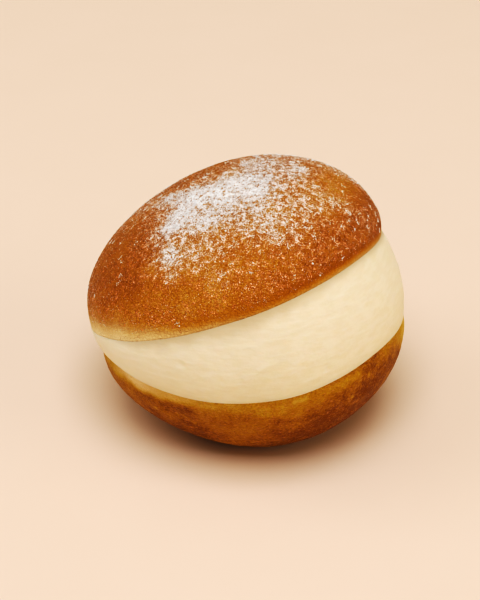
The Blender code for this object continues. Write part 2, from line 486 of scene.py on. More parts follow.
class FinishNodes:
    """A material's nodes, with short calls for the kinds that the finishes use."""

    def __init__(self, name: str) -> None:
        """Start a material with its Principled shader.

        Args:
            name: the material's name.
        """
        self.material = bpy.data.materials.new(name)
        self.material.use_nodes = True
        self.tree = self.material.node_tree
        self.where = self.add("TexCoord", {}).outputs["Object"]

    def feed(self, node: bpy.types.Node, feeds: dict[str | int, Feed]) -> bpy.types.Node:
        """Fill a node's sockets.

        Args:
            node: the node.
            feeds: for each socket the output that it is linked to, or its own value.

        Returns:
            The node.
        """
        for name, source in feeds.items():
            target = node.inputs[name]
            if isinstance(source, bpy.types.NodeSocket):
                self.tree.links.new(source, target)
            else:
                target.default_value = (*source, 1.0) if target.type == "RGBA" else source
        return node

    def add(self, kind: str, feeds: dict[str | int, Feed], **settings: str) -> bpy.types.Node:
        """Add a node.

        Args:
            kind: its type's name, without the usual first part.
            feeds: what goes into its sockets.
            settings: its own settings.

        Returns:
            The node.
        """
        node = self.tree.nodes.new("ShaderNode" + kind)
        for setting, value in settings.items():
            setattr(node, setting, value)
        return self.feed(node, feeds)

    def painted(self, mark: str) -> Socket:
        """The value of a mark that is painted on the mesh."""
        return self.add("Attribute", {}, attribute_name=mark).outputs["Fac"]

    def stretched(self, stretch: Triple) -> Socket:
        """Places in space, stretched by a factor along each axis."""
        scale = [1.0 / factor for factor in stretch]
        return self.add("Mapping", {"Scale": scale, "Vector": self.where}).outputs["Vector"]

    def cloud(self, size: float, detail: float, rough: float = 0.5, where: Socket | None = None) -> Socket:
        """Cloudy noise of 0 to 1: its lumps' size, its finer steps and their strength, and where."""
        feeds = {"Scale": 1.0 / size, "Detail": detail, "Roughness": rough, "Vector": where or self.where}
        return self.add("TexNoise", feeds).outputs["Fac"]

    def cells(self, size: float, where: Socket) -> Socket:
        """Distance to the border of irregular cells of a size, as on wrinkled skin: 0 on a border."""
        feeds = {"Scale": 1.0 / size, "Vector": where}
        return self.add("TexVoronoi", feeds, feature="DISTANCE_TO_EDGE").outputs["Distance"]

    def wobbled(self, size: float, amount: float) -> Socket:
        """Places in space, pushed about by noise.

        Args:
            size: how large the noise's lumps are.
            amount: how far it pushes.

        Returns:
            The places.
        """
        noisy = self.add("TexNoise", {"Scale": 1.0 / size, "Vector": self.where}).outputs["Color"]
        feeds = {0: noisy, 1: (2.0 * amount,) * 3, 2: self.where}
        return self.add("VectorMath", feeds, operation="MULTIPLY_ADD").outputs["Vector"]

    def plus(self, first: Feed, second: Feed) -> Socket:
        """The sum of two values."""
        return self.add("Math", {0: first, 1: second}, operation="ADD").outputs["Value"]

    def times(self, first: Feed, second: Feed) -> Socket:
        """The product of two values."""
        return self.add("Math", {0: first, 1: second}, operation="MULTIPLY").outputs["Value"]

    def ranged(self, value: Socket, low: Pair, high: Pair) -> Socket:
        """Turn a range of values into another, smoothly; low and high are a value and what it becomes.

        Args:
            value: the value to turn.
            low: the lower end.
            high: the higher end.

        Returns:
            The new value, which goes no further than the ends.
        """
        feeds = {"Value": value, "From Min": low[0], "From Max": high[0]}
        feeds.update({"To Min": low[1], "To Max": high[1]})
        return self.add("MapRange", feeds, interpolation_type="SMOOTHSTEP").outputs["Result"]

    def ramp(self, value: Socket, stops: Table) -> Socket:
        """A row of colours.

        Args:
            value: the value that chooses the colour.
            stops: places on the row, each with its screen colour.

        Returns:
            The colour.
        """
        node = self.add("ValToRGB", {"Fac": value})
        elements = node.color_ramp.elements
        while len(elements) < len(stops):
            elements.new(0.5)
        for element, (place, *color) in zip(elements, stops):
            element.position = place
            element.color = (*display(*color), 1.0)
        return node.outputs["Color"]

    def mixed(self, share: Socket, first: Feed, second: Feed) -> Socket:
        """Mix two colours, by the second one's share."""
        return self.add("Mix", {0: share, 6: first, 7: second}, data_type="RGBA").outputs[2]

    def bumped(self, height: Socket, depth: float, after: Socket | None = None) -> Socket:
        """The normal of relief from a height, where 1 is that deep, on top of coarser relief."""
        feeds = {"Distance": depth, "Height": height} | ({"Normal": after} if after else {})
        return self.add("Bump", feeds).outputs["Normal"]

    def settle(self, feeds: dict[str, Feed]) -> Material:
        """Fill the shader's sockets and hand out the material."""
        self.feed(self.tree.nodes["Principled BSDF"], feeds)
        return self.material


@dataclass(frozen=True)
class CrustFinish:
    """Fried crust: its colour follows the painted browning, mottled, wrinkled and dusted;
    painted highlights and painted shade give it its fine grain.

    A span is two ends of a range, each a value and what it becomes.
    """

    name: str
    colors: Table
    dusted: bool = False
    mottle: float = 0.24
    mottle_size: float = 4.5 * MM
    fleck: float = 0.30
    fleck_size: float = 0.8 * MM
    uneven: Span = ((0.10, 0.30), (0.65, 1.0))
    # Painted highlights: light specks on the crust's fine wrinkles; on the dusted top they also stand for
    # thin specks of sugar.
    glint: Triple = display(234, 172, 100)
    glint_share: float = 0.65
    glint_from: float = 0.53
    glint_edge: float = 0.04
    glint_size: float = 0.34 * MM
    glint_stretch: Triple = (1.0, 1.0, 1.0)
    glint_powder: float = 0.6
    glint_ring: Span = ((0.4, -0.04), (0.9, 0.0))
    # Small dark specks of painted shade in the crust's fine grain, beside the painted highlights.
    shade_speck_share: float = 0.50
    shade_speck_edge: Pair = (0.40, 0.47)
    cell_size: float = 1.0 * MM
    cell_wobble: Pair = (0.9 * MM, 0.4 * MM)
    cell_slope: Span = ((0.0, 0.0), (0.22, 1.0))
    cell_depth: float = 0.16 * MM
    # Painted shade: the browning is raised along the borders of the wrinkle cells, where shade would fall.
    crease_shade: Span = ((0.0, 0.04), (0.16, 0.0))
    grain_size: float = 0.35 * MM
    grain_depth: float = 0.06 * MM
    gloss_size: float = 3.0 * MM
    gloss: Span = ((0.3, 0.40), (0.7, 0.56))
    shine: float = 0.06
    film_grain: float = 0.28 * MM
    film_patch: float = 1.3 * MM
    film_patchy: float = 0.35
    film_edge: Span = ((0.494, 0.0), (0.514, 0.92))
    dense_edge: Span = ((0.475, 0.0), (0.525, 1.0))
    dust: Triple = display(254, 246, 243)
    thin_dust: Triple = display(252, 164, 98)
    # The colour of painted shade on the crust, used between the sugar grains and for the small dark specks.
    crust_shade: Triple = display(112, 56, 10)
    grain_shadow_edge: Span = ((0.44, 0.0), (0.49, 1.0))
    grain_shadow_depth: Span = ((-0.05, 0.75), (0.01, 1.0))

    def powdered(self, nodes: FinishNodes, color: Socket) -> Socket:
        """Lay the thin film of sugar over a colour: grains, with painted shadow on the crust between them.

        Args:
            nodes: the material's nodes.
            color: the crust's colour.

        Returns:
            The colour with as much film as the painted powder says.
        """
        powder = nodes.painted("powder")
        fine = nodes.times(nodes.cloud(self.film_grain, 2.0, 0.6), 1.0 - self.film_patchy)
        patchy = nodes.times(nodes.cloud(self.film_patch, 1.0), self.film_patchy)
        level = nodes.plus(nodes.plus(fine, patchy), powder)
        # Painted shadow on the crust beside and between the sugar grains, darker where the sugar lies thick.
        grain_shadows = nodes.times(nodes.ranged(level, *self.grain_shadow_edge), nodes.ranged(powder, *self.grain_shadow_depth))
        film = nodes.ranged(level, *self.film_edge)
        dense = nodes.ranged(nodes.plus(level, powder), *self.dense_edge)
        dust = nodes.mixed(dense, self.thin_dust, self.dust)
        return nodes.mixed(film, nodes.mixed(grain_shadows, color, self.crust_shade), dust)

    def material(self) -> Material:
        """Build the crust's material.

        Returns:
            The material.
        """
        nodes = FinishNodes(self.name)
        browning = nodes.painted("browning")
        mottling = nodes.times(nodes.plus(nodes.cloud(self.mottle_size, 2.0), -0.5), 2.0 * self.mottle)
        flecks = nodes.times(nodes.plus(nodes.cloud(self.fleck_size, 3.0, 0.6), -0.5), 2.0 * self.fleck)
        uneven = nodes.ranged(browning, *self.uneven)
        if self.dusted:
            uneven = nodes.times(uneven, nodes.painted("roughness"))
        browning = nodes.plus(browning, nodes.times(nodes.plus(mottling, flecks), uneven))
        cells = nodes.cells(self.cell_size, nodes.wobbled(*self.cell_wobble))
        # The browning, plus painted shade along the wrinkle cells' borders, chooses the colour.
        color = nodes.ramp(nodes.plus(browning, nodes.ranged(cells, *self.crease_shade)), self.colors)
        # Painted highlights on the fine wrinkles, from a fine noise that also gives the dark specks.
        glints = nodes.cloud(self.glint_size, 2.0, 0.6, nodes.stretched(self.glint_stretch))
        # Dark specks of painted shade where the fine noise is low.
        shade_specks = nodes.ranged(glints, (self.shade_speck_edge[0], self.shade_speck_share), (self.shade_speck_edge[1], 0.0))
        color = nodes.mixed(nodes.times(shade_specks, uneven), color, self.crust_shade)
        # On the dusted top the painted highlights also stand for thin specks of sugar: more where the powder
        # lies, fewer near the pale ring.
        if self.dusted:
            glints = nodes.plus(glints, nodes.times(nodes.painted("powder"), self.glint_powder))
            glints = nodes.plus(glints, nodes.ranged(nodes.painted("roughness"), *self.glint_ring))
        full = (self.glint_from + self.glint_edge, self.glint_share)
        color = nodes.mixed(nodes.ranged(glints, (self.glint_from, 0.0), full), color, self.glint)
        if self.dusted:
            color = self.powdered(nodes, color)
        skin = nodes.bumped(nodes.ranged(cells, *self.cell_slope), self.cell_depth)
        skin = nodes.bumped(nodes.cloud(self.grain_size, 3.0, 0.6), self.grain_depth, skin)
        gloss = nodes.ranged(nodes.cloud(self.gloss_size, 2.0), *self.gloss)
        feeds = {"Base Color": color, "Roughness": gloss, "Normal": skin}
        return nodes.settle(feeds | {"Specular IOR Level": self.shine})


@dataclass(frozen=True)
class CreamFinish:
    """Whipped pastry cream, scraped smooth: pale, a little see-through, with fine streaks."""

    name: str = "cream_filling"
    body: Triple = display(233, 218, 190)
    fat: Triple = display(237, 224, 199)
    # A paler colour for the cream towards its left end.
    pale_left: Triple = display(240, 228, 208)
    # The colour of painted shade on the cream under the upper crust and along the lower one.
    shaded_cream: Triple = display(196, 171, 141)
    streak_size: float = 1.2 * MM
    streak_stretch: Triple = (3.5, 3.5, 1.0)
    streak_mix: Span = ((0.35, 0.0), (0.65, 1.0))
    streak_depth: float = 0.12 * MM
    grain_size: float = 1.3 * MM
    grain_depth: float = 0.07 * MM
    gloss: Span = ((0.35, 0.42), (0.65, 0.55))
    shine: float = 0.3
    depth: Triple = (0.0026, 0.0018, 0.0011)
    depth_share: float = 0.5

    def material(self) -> Material:
        """Build the cream's material.

        Returns:
            The material.
        """
        nodes = FinishNodes(self.name)
        streaks = nodes.cloud(self.streak_size, 4.0, 0.55, nodes.stretched(self.streak_stretch))
        color = nodes.mixed(nodes.ranged(streaks, *self.streak_mix), self.body, self.fat)
        # Paler towards the left end.
        color = nodes.mixed(nodes.painted("pale_left"), color, self.pale_left)
        # Painted shade along the two crusts.
        color = nodes.mixed(nodes.painted("shaded_cream"), color, self.shaded_cream)
        skin = nodes.bumped(streaks, self.streak_depth)
        skin = nodes.bumped(nodes.cloud(self.grain_size, 3.0), self.grain_depth, skin)
        feeds = {"Base Color": color, "Roughness": nodes.ranged(streaks, *self.gloss), "Normal": skin}
        feeds.update({"Subsurface Weight": self.depth_share, "Subsurface Radius": self.depth})
        return nodes.settle(feeds | {"Subsurface Scale": 1.0, "Specular IOR Level": self.shine})


@dataclass(frozen=True)
class SugarFinish:
    """Powdered sugar: dry, bright and faintly uneven."""

    name: str = "powdered_sugar"
    bright: Triple = (0.93, 0.92, 0.93)
    shaded: Triple = (0.74, 0.72, 0.73)
    cloud_size: float = 0.7 * MM
    cloud_mix: Span = ((0.35, 0.0), (0.65, 1.0))
    grain_size: float = 0.3 * MM
    grain_depth: float = 0.04 * MM
    gloss: float = 0.8
    shine: float = 0.2

    def material(self) -> Material:
        """Build the sugar's material.

        Returns:
            The material.
        """
        nodes = FinishNodes(self.name)
        clouds = nodes.ranged(nodes.cloud(self.cloud_size, 3.0, 0.6), *self.cloud_mix)
        color = nodes.mixed(clouds, self.shaded, self.bright)
        skin = nodes.bumped(nodes.cloud(self.grain_size, 2.0), self.grain_depth)
        plain = {"Roughness": self.gloss, "Specular IOR Level": self.shine}
        return nodes.settle(plain | {"Base Color": color, "Normal": skin})


@dataclass(frozen=True)
class FloorFinish:
    """The pale paper that the doughnut stands on."""

    name: str = "studio_paper"
    light: Triple = (0.842, 0.659, 0.538)
    deep: Triple = (0.824, 0.642, 0.519)
    cloud_size: float = 30.0 * MM
    gloss: float = 0.9

    def material(self) -> Material:
        """Build the paper's material.

        Returns:
            The material.
        """
        nodes = FinishNodes(self.name)
        color = nodes.mixed(nodes.cloud(self.cloud_size, 3.0), self.deep, self.light)
        return nodes.settle({"Base Color": color, "Roughness": self.gloss, "Specular IOR Level": 0.0})


@dataclass(frozen=True)
class CrustRelief:
    """Humps, wrinkles and pores of a fried crust."""

    hump_size: float = 6.0 * MM
    hump_height: float = 0.10 * MM
    wrinkle_size: float = 1.9 * MM
    wrinkle_height: float = 0.060 * MM
    wrinkle_width: float = 0.35
    wrinkle_middle: float = 0.7
    wrinkle_seed: float = 7.0
    pore_size: float = 1.1 * MM
    pore_height: float = 0.045 * MM
    pore_seed: float = 13.0

    def heights(self, points: Array, seed: float) -> Array:
        """How far the crust stands out.

        Args:
            points: places on the smooth form.
            seed: moves to another part of the noise.

        Returns:
            The heights, in metres.
        """
        humps = self.hump_height * cloud(points, self.hump_size, 2, seed)
        fold = np.abs(cloud(points, self.wrinkle_size, 2, seed + self.wrinkle_seed))
        fold = np.clip(fold / self.wrinkle_width, 0.0, 1.0) - self.wrinkle_middle
        pores = self.pore_height * cloud(points, self.pore_size, 2, seed + self.pore_seed)
        return humps + self.wrinkle_height * fold + pores


@dataclass(frozen=True)
class BunTop:
    """The upper half: a browned dome with a pale torn ring along its cut.

    Each row of ring is a turn in degrees, the pale ring's width in millimetres, how far it is
    baked at the cut, and how far the dome is baked above it. Reaches are in millimetres from the
    cut, but those of torn and dome in widths of the pale ring.
    """

    form: BunForm
    finish: CrustFinish
    relief: CrustRelief
    turns: int = 600
    wall_rings: int = 132
    edge_rings: int = 8
    face_rings: int = 5
    edge_rounding: float = 0.00003
    torn_baked: float = 0.58
    torn_reach: Pair = (-0.05, 1.35)
    dome_reach: Pair = (1.0, 1.9)
    torn_size: float = 2.6 * MM
    torn_share: float = 0.12
    ring_roughness: float = 0.4
    roughness_reach: Pair = (2.0, 8.0)
    relief_reach: Pair = (0.3, 2.4)
    ring: Table = (
        (130, 1.6, 0.22, 0.73), (225, 4.0, 0.08, 0.75), (235, 5.0, 0.05, 0.74), (245, 6.8, 0.0, 0.75),
        (255, 5.8, 0.0, 0.78), (265, 6.6, 0.0, 0.75), (275, 5.3, 0.04, 0.67), (285, 3.9, 0.09, 0.58),
        (295, 2.8, 0.18, 0.55), (310, 1.9, 0.30, 0.61), (330, 1.3, 0.36, 0.73), (350, 1.5, 0.32, 0.81),
        (370, 1.6, 0.25, 0.81), (490, 1.6, 0.22, 0.73),
    )
    brown_marks: tuple[Stroke, ...] = strokes(
        (268, 28, 270, 31, 3, 3, 0.10),
        (300, 10, 325, 14, 5, 5, -0.05),
        (330, 30, 430, 27, 9, 8, -0.19),
        (364, 22, 395, 23, 6, 5, -0.14),
    )

    def rows(self) -> Rows:
        """Rings from the crown down the dome, round the edge and in over the cut face.

        Returns:
            The rings.
        """
        form = self.form
        foot = form.cut + self.edge_rounding
        fall = np.cos(np.linspace(0.0, QUARTER, WALL_STEPS))
        wall, along = form.spaced(foot + (form.crown - foot) * fall, self.wall_rings)
        edge = edge_round(form.rim, self.edge_rounding, self.edge_rings)
        radius, rise, round_edge = (part[-2::-1] for part in edge)
        inner = radius[-1] / form.rim
        face = np.linspace(1.0, 0.0, self.face_rings + 2)[1:-1] * inner
        share = np.concatenate([np.ones_like(wall), radius / form.wall_radius(form.cut + rise), face])
        level = np.concatenate([wall - form.cut, rise, 0.0 * face]) / (form.crown - form.cut)
        wall_reach = along[-1] - along + self.edge_rounding * QUARTER
        reach = np.concatenate([wall_reach, round_edge, (face - inner) * form.rim]) / MM
        return Rows(share, level, reach)

    def browning(self, skin: Skin) -> Array:
        """How far each place is baked, from 0 for pale crumb to 1 for the darkest brown.

        Args:
            skin: the dome's skin.

        Returns:
            The browning.
        """
        width, palest, dome = looked_up(self.ring, skin.degrees)
        torn = 1.0 + self.torn_share * cloud(skin.points, self.torn_size, 3, seed=31.0)
        past = skin.reach / (width * torn)
        baked = palest + (self.torn_baked - palest) * eased(*self.torn_reach, past)
        baked = baked + (dome - self.torn_baked) * eased(*self.dome_reach, past)
        baked = baked + all_laid(self.brown_marks, skin.degrees, skin.reach)
        return patched(baked, skin.points, seed=3.0)

    def skin(self) -> Skin:
        """The dome's skin before the bun is opened.

        Returns:
            The skin, raised and painted.
        """
        skin = Skin(self.rows(), self.turns, partial(self.form.half_points, Half.TOP))
        skin.marks["browning"] = self.browning(skin)
        smooth = self.ring_roughness
        skin.marks["roughness"] = smooth + (1.0 - smooth) * eased(*self.roughness_reach, skin.reach)
        fade = eased(*self.relief_reach, skin.reach)
        skin.raise_by(fade * self.relief.heights(skin.points, seed=2.0))
        return skin

    def build(self, skin: Skin) -> None:
        """Make the piece.

        Args:
            skin: the finished skin of the closed bun's upper half.
        """
        skin.points = self.form.opened(skin.points) + self.form.offset
        mesh = skin.mesh("bun_top_skin")
        add_piece("bun_top_crust", mesh, self.finish.material(), Half.TOP.value)


@dataclass(frozen=True)
class BunBottom:
    """The lower half: a darker bowl with a golden band under its cut.

    Each row of band is a turn in degrees, how far the band is baked, its width in millimetres,
    and how far the bowl is baked below it. Reaches are in millimetres from the cut, but those of
    bowl from the band, and the drift moves them by millimetres.
    """

    form: BunForm
    finish: CrustFinish
    relief: CrustRelief
    turns: int = 560
    wall_rings: int = 104
    edge_rings: int = 4
    face_rings: int = 5
    base_rings: int = 10
    edge_rounding: float = 0.00025
    face_baked: float = 0.12
    face_reach: float = -0.05
    bowl_reach: Pair = (0.0, 5.0)
    # Darker towards the foot, from 10 to 22 millimetres below the cut.
    darker_foot: float = 0.08
    foot_reach: Pair = (10.0, 22.0)
    relief_reach: Pair = (0.1, 1.6)
    relief_rise: Pair = (0.5 * MM, 4.0 * MM)
    drift_size: float = 5.0 * MM
    drift: float = 1.1
    band: Table = (
        (130, 0.50, 2.5, 0.84), (246, 0.50, 1.0, 0.80), (251, 0.34, 0.8, 0.80), (256, 0.10, 0.6, 0.80),
        (265, 0.02, 1.8, 0.84), (275, 0.23, 2.5, 0.84), (285, 0.28, 0.5, 0.87), (300, 0.49, 1.5, 0.75),
        (315, 0.57, 4.0, 0.78), (330, 0.66, 6.0, 0.89), (345, 0.78, 2.5, 0.95), (360, 0.90, 3.0, 0.95),
        (374, 0.64, 0.2, 0.93), (386, 0.48, 3.8, 0.95), (490, 0.50, 2.5, 0.84),
    )
    brown_marks: tuple[Stroke, ...] = strokes(
        (343, 11.4, 343.4, 11, 0.9, 0.7, 0.30),
        (326, 2, 329.5, 2.3, 1, 0.9, -0.22),
        (339, 2.2, 352, 2.6, 1.3, 1.2, -0.13),
        (357.5, 4.6, 358, 4.7, 0.5, 0.5, -0.35),
        (350.5, 9, 351, 9, 0.5, 0.5, -0.35),
        (268, 10.5, 268.5, 10.5, 0.5, 0.5, -0.35),
        (278.5, 9.7, 279, 9.5, 0.5, 0.5, -0.30),
        (281, 9, 285, 12.5, 0.7, 0.7, -0.14),
    )
    raised_marks: tuple[Stroke, ...] = strokes(
        (346, 20.5, 347, 20.6, 0.9, 0.8, -0.30),
        (343, 11.4, 343.4, 11, 1.1, 0.9, -0.16),
        (328, 2.4, 328, 2.6, 0.7, 0.6, 0.10),
        (357.5, 4.6, 358, 4.7, 0.7, 0.6, 0.10),
        (281, 9, 285, 12.5, 0.6, 0.6, 0.12),
        (277, 11, 280, 14, 0.6, 0.6, 0.10),
    )

    def rows(self) -> Rows:
        """Rings from the middle of the cut face out, round the edge, down the wall and in below.

        Returns:
            The rings.
        """
        form = self.form
        radius, drop, round_edge = edge_round(form.rim, self.edge_rounding, self.edge_rings)
        inner = radius[0] / form.rim
        face = np.linspace(0.0, 1.0, self.face_rings + 2)[1:-1] * inner
        edge = form.cut - drop
        fall = 1.0 - np.sin(np.linspace(0.0, QUARTER, WALL_STEPS))
        wall, along = form.spaced((form.cut - self.edge_rounding) * fall, self.wall_rings)
        base = np.linspace(1.0, 0.0, self.base_rings + 2)[1:-1]
        share = np.concatenate([face, radius / form.wall_radius(edge), np.ones_like(wall), base])
        level = np.concatenate([1.0 + 0.0 * face, edge / form.cut, wall / form.cut, 0.0 * base])
        wall_reach = along + round_edge[-1]
        base_reach = wall_reach[-1] + (1.0 - base) * form.base_spot
        reach = np.concatenate([(face - inner) * form.rim, round_edge, wall_reach, base_reach]) / MM
        return Rows(share, level, reach)

    def browning(self, skin: Skin) -> Array:
        """How far each place is baked, from 0 for pale crumb to 1 for the darkest brown.

        Args:
            skin: the bowl's skin.

        Returns:
            The browning.
        """
        past = skin.reach + self.drift * cloud(skin.points, self.drift_size, 3, seed=17.0)
        band, width, bowl = looked_up(self.band, skin.degrees)
        baked = band + (bowl - band) * eased(*self.bowl_reach, past - width)
        # Darker towards the foot.
        baked = baked + self.darker_foot * eased(*self.foot_reach, past)
        baked = baked + all_laid(self.brown_marks, skin.degrees, skin.reach)
        baked = np.where(skin.reach < self.face_reach, self.face_baked, baked)
        return patched(baked, skin.points, seed=5.0)

    def smooth_skin(self) -> Skin:
        """The bowl's skin before anything is raised or painted on it."""
        return Skin(self.rows(), self.turns, partial(self.form.half_points, Half.BOTTOM))

    def build(self) -> None:
        """Make the piece."""
        skin = self.smooth_skin()
        skin.marks["browning"] = self.browning(skin)
        heights = self.relief.heights(skin.points, seed=41.0)
        heights = heights + all_laid(self.raised_marks, skin.degrees, skin.reach) * MM
        free = eased(*self.relief_reach, skin.reach) * eased(*self.relief_rise, skin.points[..., 2])
        skin.raise_by(heights * free)
        skin.points = skin.points + self.form.offset
        mesh = skin.mesh("bun_bottom_skin")
        add_piece("bun_bottom_crust", mesh, self.finish.material(), Half.BOTTOM.value)


@dataclass(frozen=True)
class CreamFilling:
    """The wedge of cream, drawn smooth with a spatula right round the bun.

    Each row of the cap's shade table is a turn in degrees, how strong the painted shade on the cream
    under the upper crust is, and how deep it reaches in millimetres. Each row of the paler left table
    is a turn and how much paler the cream is there. Swell, streak, marks and the lower shade's depth
    are in millimetres; free and shade reaches are shares.
    """

    form: BunForm
    finish: CreamFinish
    turns: int = 560
    wall_rings: int = 64
    edge_rings: int = 6
    face_rings: int = 5
    blank_height: float = 0.010
    foot_rounding: float = 0.00006
    top_rounding: float = 0.00003
    map_height: float = 20.0
    swell: float = 0.16
    swell_size: float = 13.0 * MM
    streak: float = 0.060
    streak_size: float = 14.0 * MM
    streak_stretch: float = 8.0
    free_above_foot: Pair = (0.0, 0.12)
    free_below_top: Pair = (0.0, 0.08)
    # Painted shade on the cream along the lower crust: how strong, and how far up in millimetres.
    shade_below: float = 0.30
    shade_depth_below: float = 1.2
    shade_size: float = 5.0 * MM
    shade_uneven: float = 0.35
    shade_reach: Pair = (-0.3, 1.0)
    # Painted shade on the cream under the upper crust, turn by turn.
    cap_shade: Table = (
        (130, 0.8, 1.2), (225, 0.4, 0.8), (245, 0.3, 0.6), (262, 0.5, 1.3), (275, 0.9, 3.4),
        (290, 1.0, 3.8), (320, 1.0, 3.8), (340, 1.0, 2.4), (360, 0.95, 1.5), (490, 0.8, 1.2),
    )
    # How much paler the cream is towards its left end, turn by turn.
    pale_left: Table = (
        (130, 0.0), (215, 0.2), (235, 0.8), (262, 0.7), (285, 0.35), (305, 0.2), (325, 0.05),
        (345, 0.0), (490, 0.0),
    )
    marks: tuple[Stroke, ...] = strokes(
        (311, 7, 321, 9.4, 0.8, 0.8, 0.12),
        (316.5, 8.6, 322, 9.8, 0.6, 0.6, 0.10),
        (291, 12.6, 291.6, 12.5, 0.9, 0.8, -0.22),
        (338.5, 4.2, 338.9, 4.2, 0.7, 0.6, -0.22),
        (300, 5.4, 330, 6.6, 0.6, 0.6, 0.05),
        (285, 9, 310, 11.5, 0.9, 0.9, -0.05),
    )

    def rows(self) -> Rows:
        """Rings from the middle of the upper face out, down the wall and in over the lower face.

        Returns:
            The rings.
        """
        radius, tall = self.form.radius, self.blank_height
        top_radius, top_drop, _ = edge_round(radius, self.top_rounding, self.edge_rings)
        foot = edge_round(radius, self.foot_rounding, self.edge_rings)
        foot_radius, foot_rise, _ = (part[::-1] for part in foot)
        wall = np.linspace(tall - top_drop[-1], foot_rise[0], self.wall_rings + 2)[1:-1]
        spokes = np.linspace(0.0, 1.0, self.face_rings + 2)[1:-1]
        top_face, foot_face = spokes * top_radius[0], spokes[::-1] * foot_radius[-1]
        outline = np.concatenate([top_face, top_radius, radius + 0.0 * wall, foot_radius, foot_face])
        flat = 0.0 * spokes
        height = np.concatenate([tall + flat, tall - top_drop, wall, foot_rise, flat])
        on_wall = np.where(outline < radius - self.top_rounding, -1.0, 1.0)
        return Rows(outline / radius, height / tall, on_wall)

    def relief(self, skin: Skin) -> Array:
        """Swells and spatula streaks, which follow the cream's own layers.

        Args:
            skin: the cream's skin.

        Returns:
            The heights, in metres.
        """
        layer = self.streak_stretch * skin.level * self.map_height * MM
        drawn = np.stack([skin.points[..., 0], skin.points[..., 1], layer], axis=-1)
        heights = self.swell * cloud(skin.points, self.swell_size, 2, seed=9.0)
        heights = heights + self.streak * cloud(drawn, self.streak_size, 3, seed=21.0)
        heights = heights + all_laid(self.marks, skin.degrees, skin.level * self.map_height)
        free = eased(*self.free_above_foot, skin.level) * eased(*self.free_below_top, 1.0 - skin.level)
        return heights * free * (skin.reach > 0.0) * MM

    def soaking(self, skin: Skin) -> Array:
        """How much painted shade lies on the cream along the two crusts.

        Args:
            skin: the cream's skin.

        Returns:
            0 for no painted shade to 1 for full painted shade.
        """
        tall = np.linalg.norm(skin.points[0] - skin.points[-1], axis=-1) / MM
        reach = 1.0 + self.shade_uneven * cloud(skin.points, self.shade_size, 2, seed=63.0)
        amount, depth = looked_up(self.cap_shade, skin.degrees)
        shaded_cream = self.shade_below * np.exp(-skin.level * tall / (self.shade_depth_below * reach))
        down = (1.0 - skin.level) * tall / (depth * reach)
        return shaded_cream + amount * (1.0 - eased(*self.shade_reach, down))

    def build(self) -> None:
        """Make the piece."""
        skin = Skin(self.rows(), self.turns, self.form.cream_points)
        # Painted shade along both crusts.
        skin.marks["shaded_cream"] = self.soaking(skin)
        skin.marks["pale_left"] = looked_up(self.pale_left, skin.degrees)[0]
        skin.raise_by(self.relief(skin))
        skin.points = skin.points + self.form.offset
        add_piece("cream_filling", skin.mesh("cream_skin"), self.finish.material(), "cream")


@dataclass(frozen=True)
class SugarMap:
    """Where the powdered sugar fell, on the dome's own plan in millimetres.

    The plan is that of the closed bun: the crown lies near (4, 8).
    """

    spread: float = 0.12
    falls: tuple[Stroke, ...] = strokes(
        (3, -21, 4, -12, 2.2, 2.2, 0.42),
        (4, -11, 12, -7, 2.6, 2.4, 0.80),
        (12, -7, 14, 1, 2.6, 2.4, 0.25),
        (14, -3, 20, -3, 2.2, 2.2, 0.46),
        (6, -14, 17, -2, 8, 4, 0.27),
        (3, -8, -8, -10, 3, 3, 0.24),
        (-8, -10, -15, -11, 3, 3, 0.12),
        (10, 0, 12, 9, 5, 3.5, 0.12),
        (6, 12, 21, 14, 5, 4.5, 0.12),
        (6, -20, 14, -20, 5, 4, 0.10),
        (10, -8, 12, -4, 20, 9, 0.17),
        (8, -29, 9, -29.5, 2.2, 1.8, 0.32),
        (12, -34, 13, -34, 1.8, 1.6, 0.36),
        (13, -19, 13.5, -18, 2, 1.8, 0.24),
        (24, -9, 25, -8, 2, 1.8, 0.14),
        (32, -13, 33, -12, 1.8, 1.6, 0.10),
        (20, 14, 20.5, 15, 1.4, 1.3, 0.27),
        (37, 10, 37.5, 10, 1.4, 1.3, 0.10),
        (8, 22, 24, 28, 5, 4, 0.14),
        (33, -9, 33, 8, 5, 3.5, 0.14),
        (18, -14, 27, -12, 4.5, 4, 0.17),
        (6, -30, 19, -28, 4, 3.5, 0.12),
        (0, -24, 2, -24, 3, 2.5, 0.15),
        (-24, -15, -24, 0, 6, 5, 0.07),
        (24, -31.5, 27, -30, 2, 1.8, 0.20),
        (24, 12, 34, 14, 5, 4, 0.12),
    )
    bare_marks: tuple[Stroke, ...] = strokes(
        (-8, 2, -4, 8, 6, 5, 0.40),
        (-26, -22, -6, -36, 8, 7, 0.55),
        (0, -40, 30, -32, 3, 3, 0.60),
        (30, 15, 34, 22, 5, 4, 0.54),
    )

    def cover(self, plan: Array) -> Array:
        """The share of the crust that sugar hides.

        Args:
            plan: places on the plan, in metres, two or more numbers each.

        Returns:
            0 for bare crust to 1 for a closed layer.
        """
        across, up = plan[..., 0] / MM, plan[..., 1] / MM
        covered = 1.0 - (1.0 - self.spread) * left_bare(self.falls, across, up)
        return covered * left_bare(self.bare_marks, across, up)


class BitKind(Enum):
    """Kinds of loose sugar, each with its piece's name."""

    DUST = "sugar_dust"
    GRAIN = "sugar_grains"
    LUMP = "sugar_lumps"


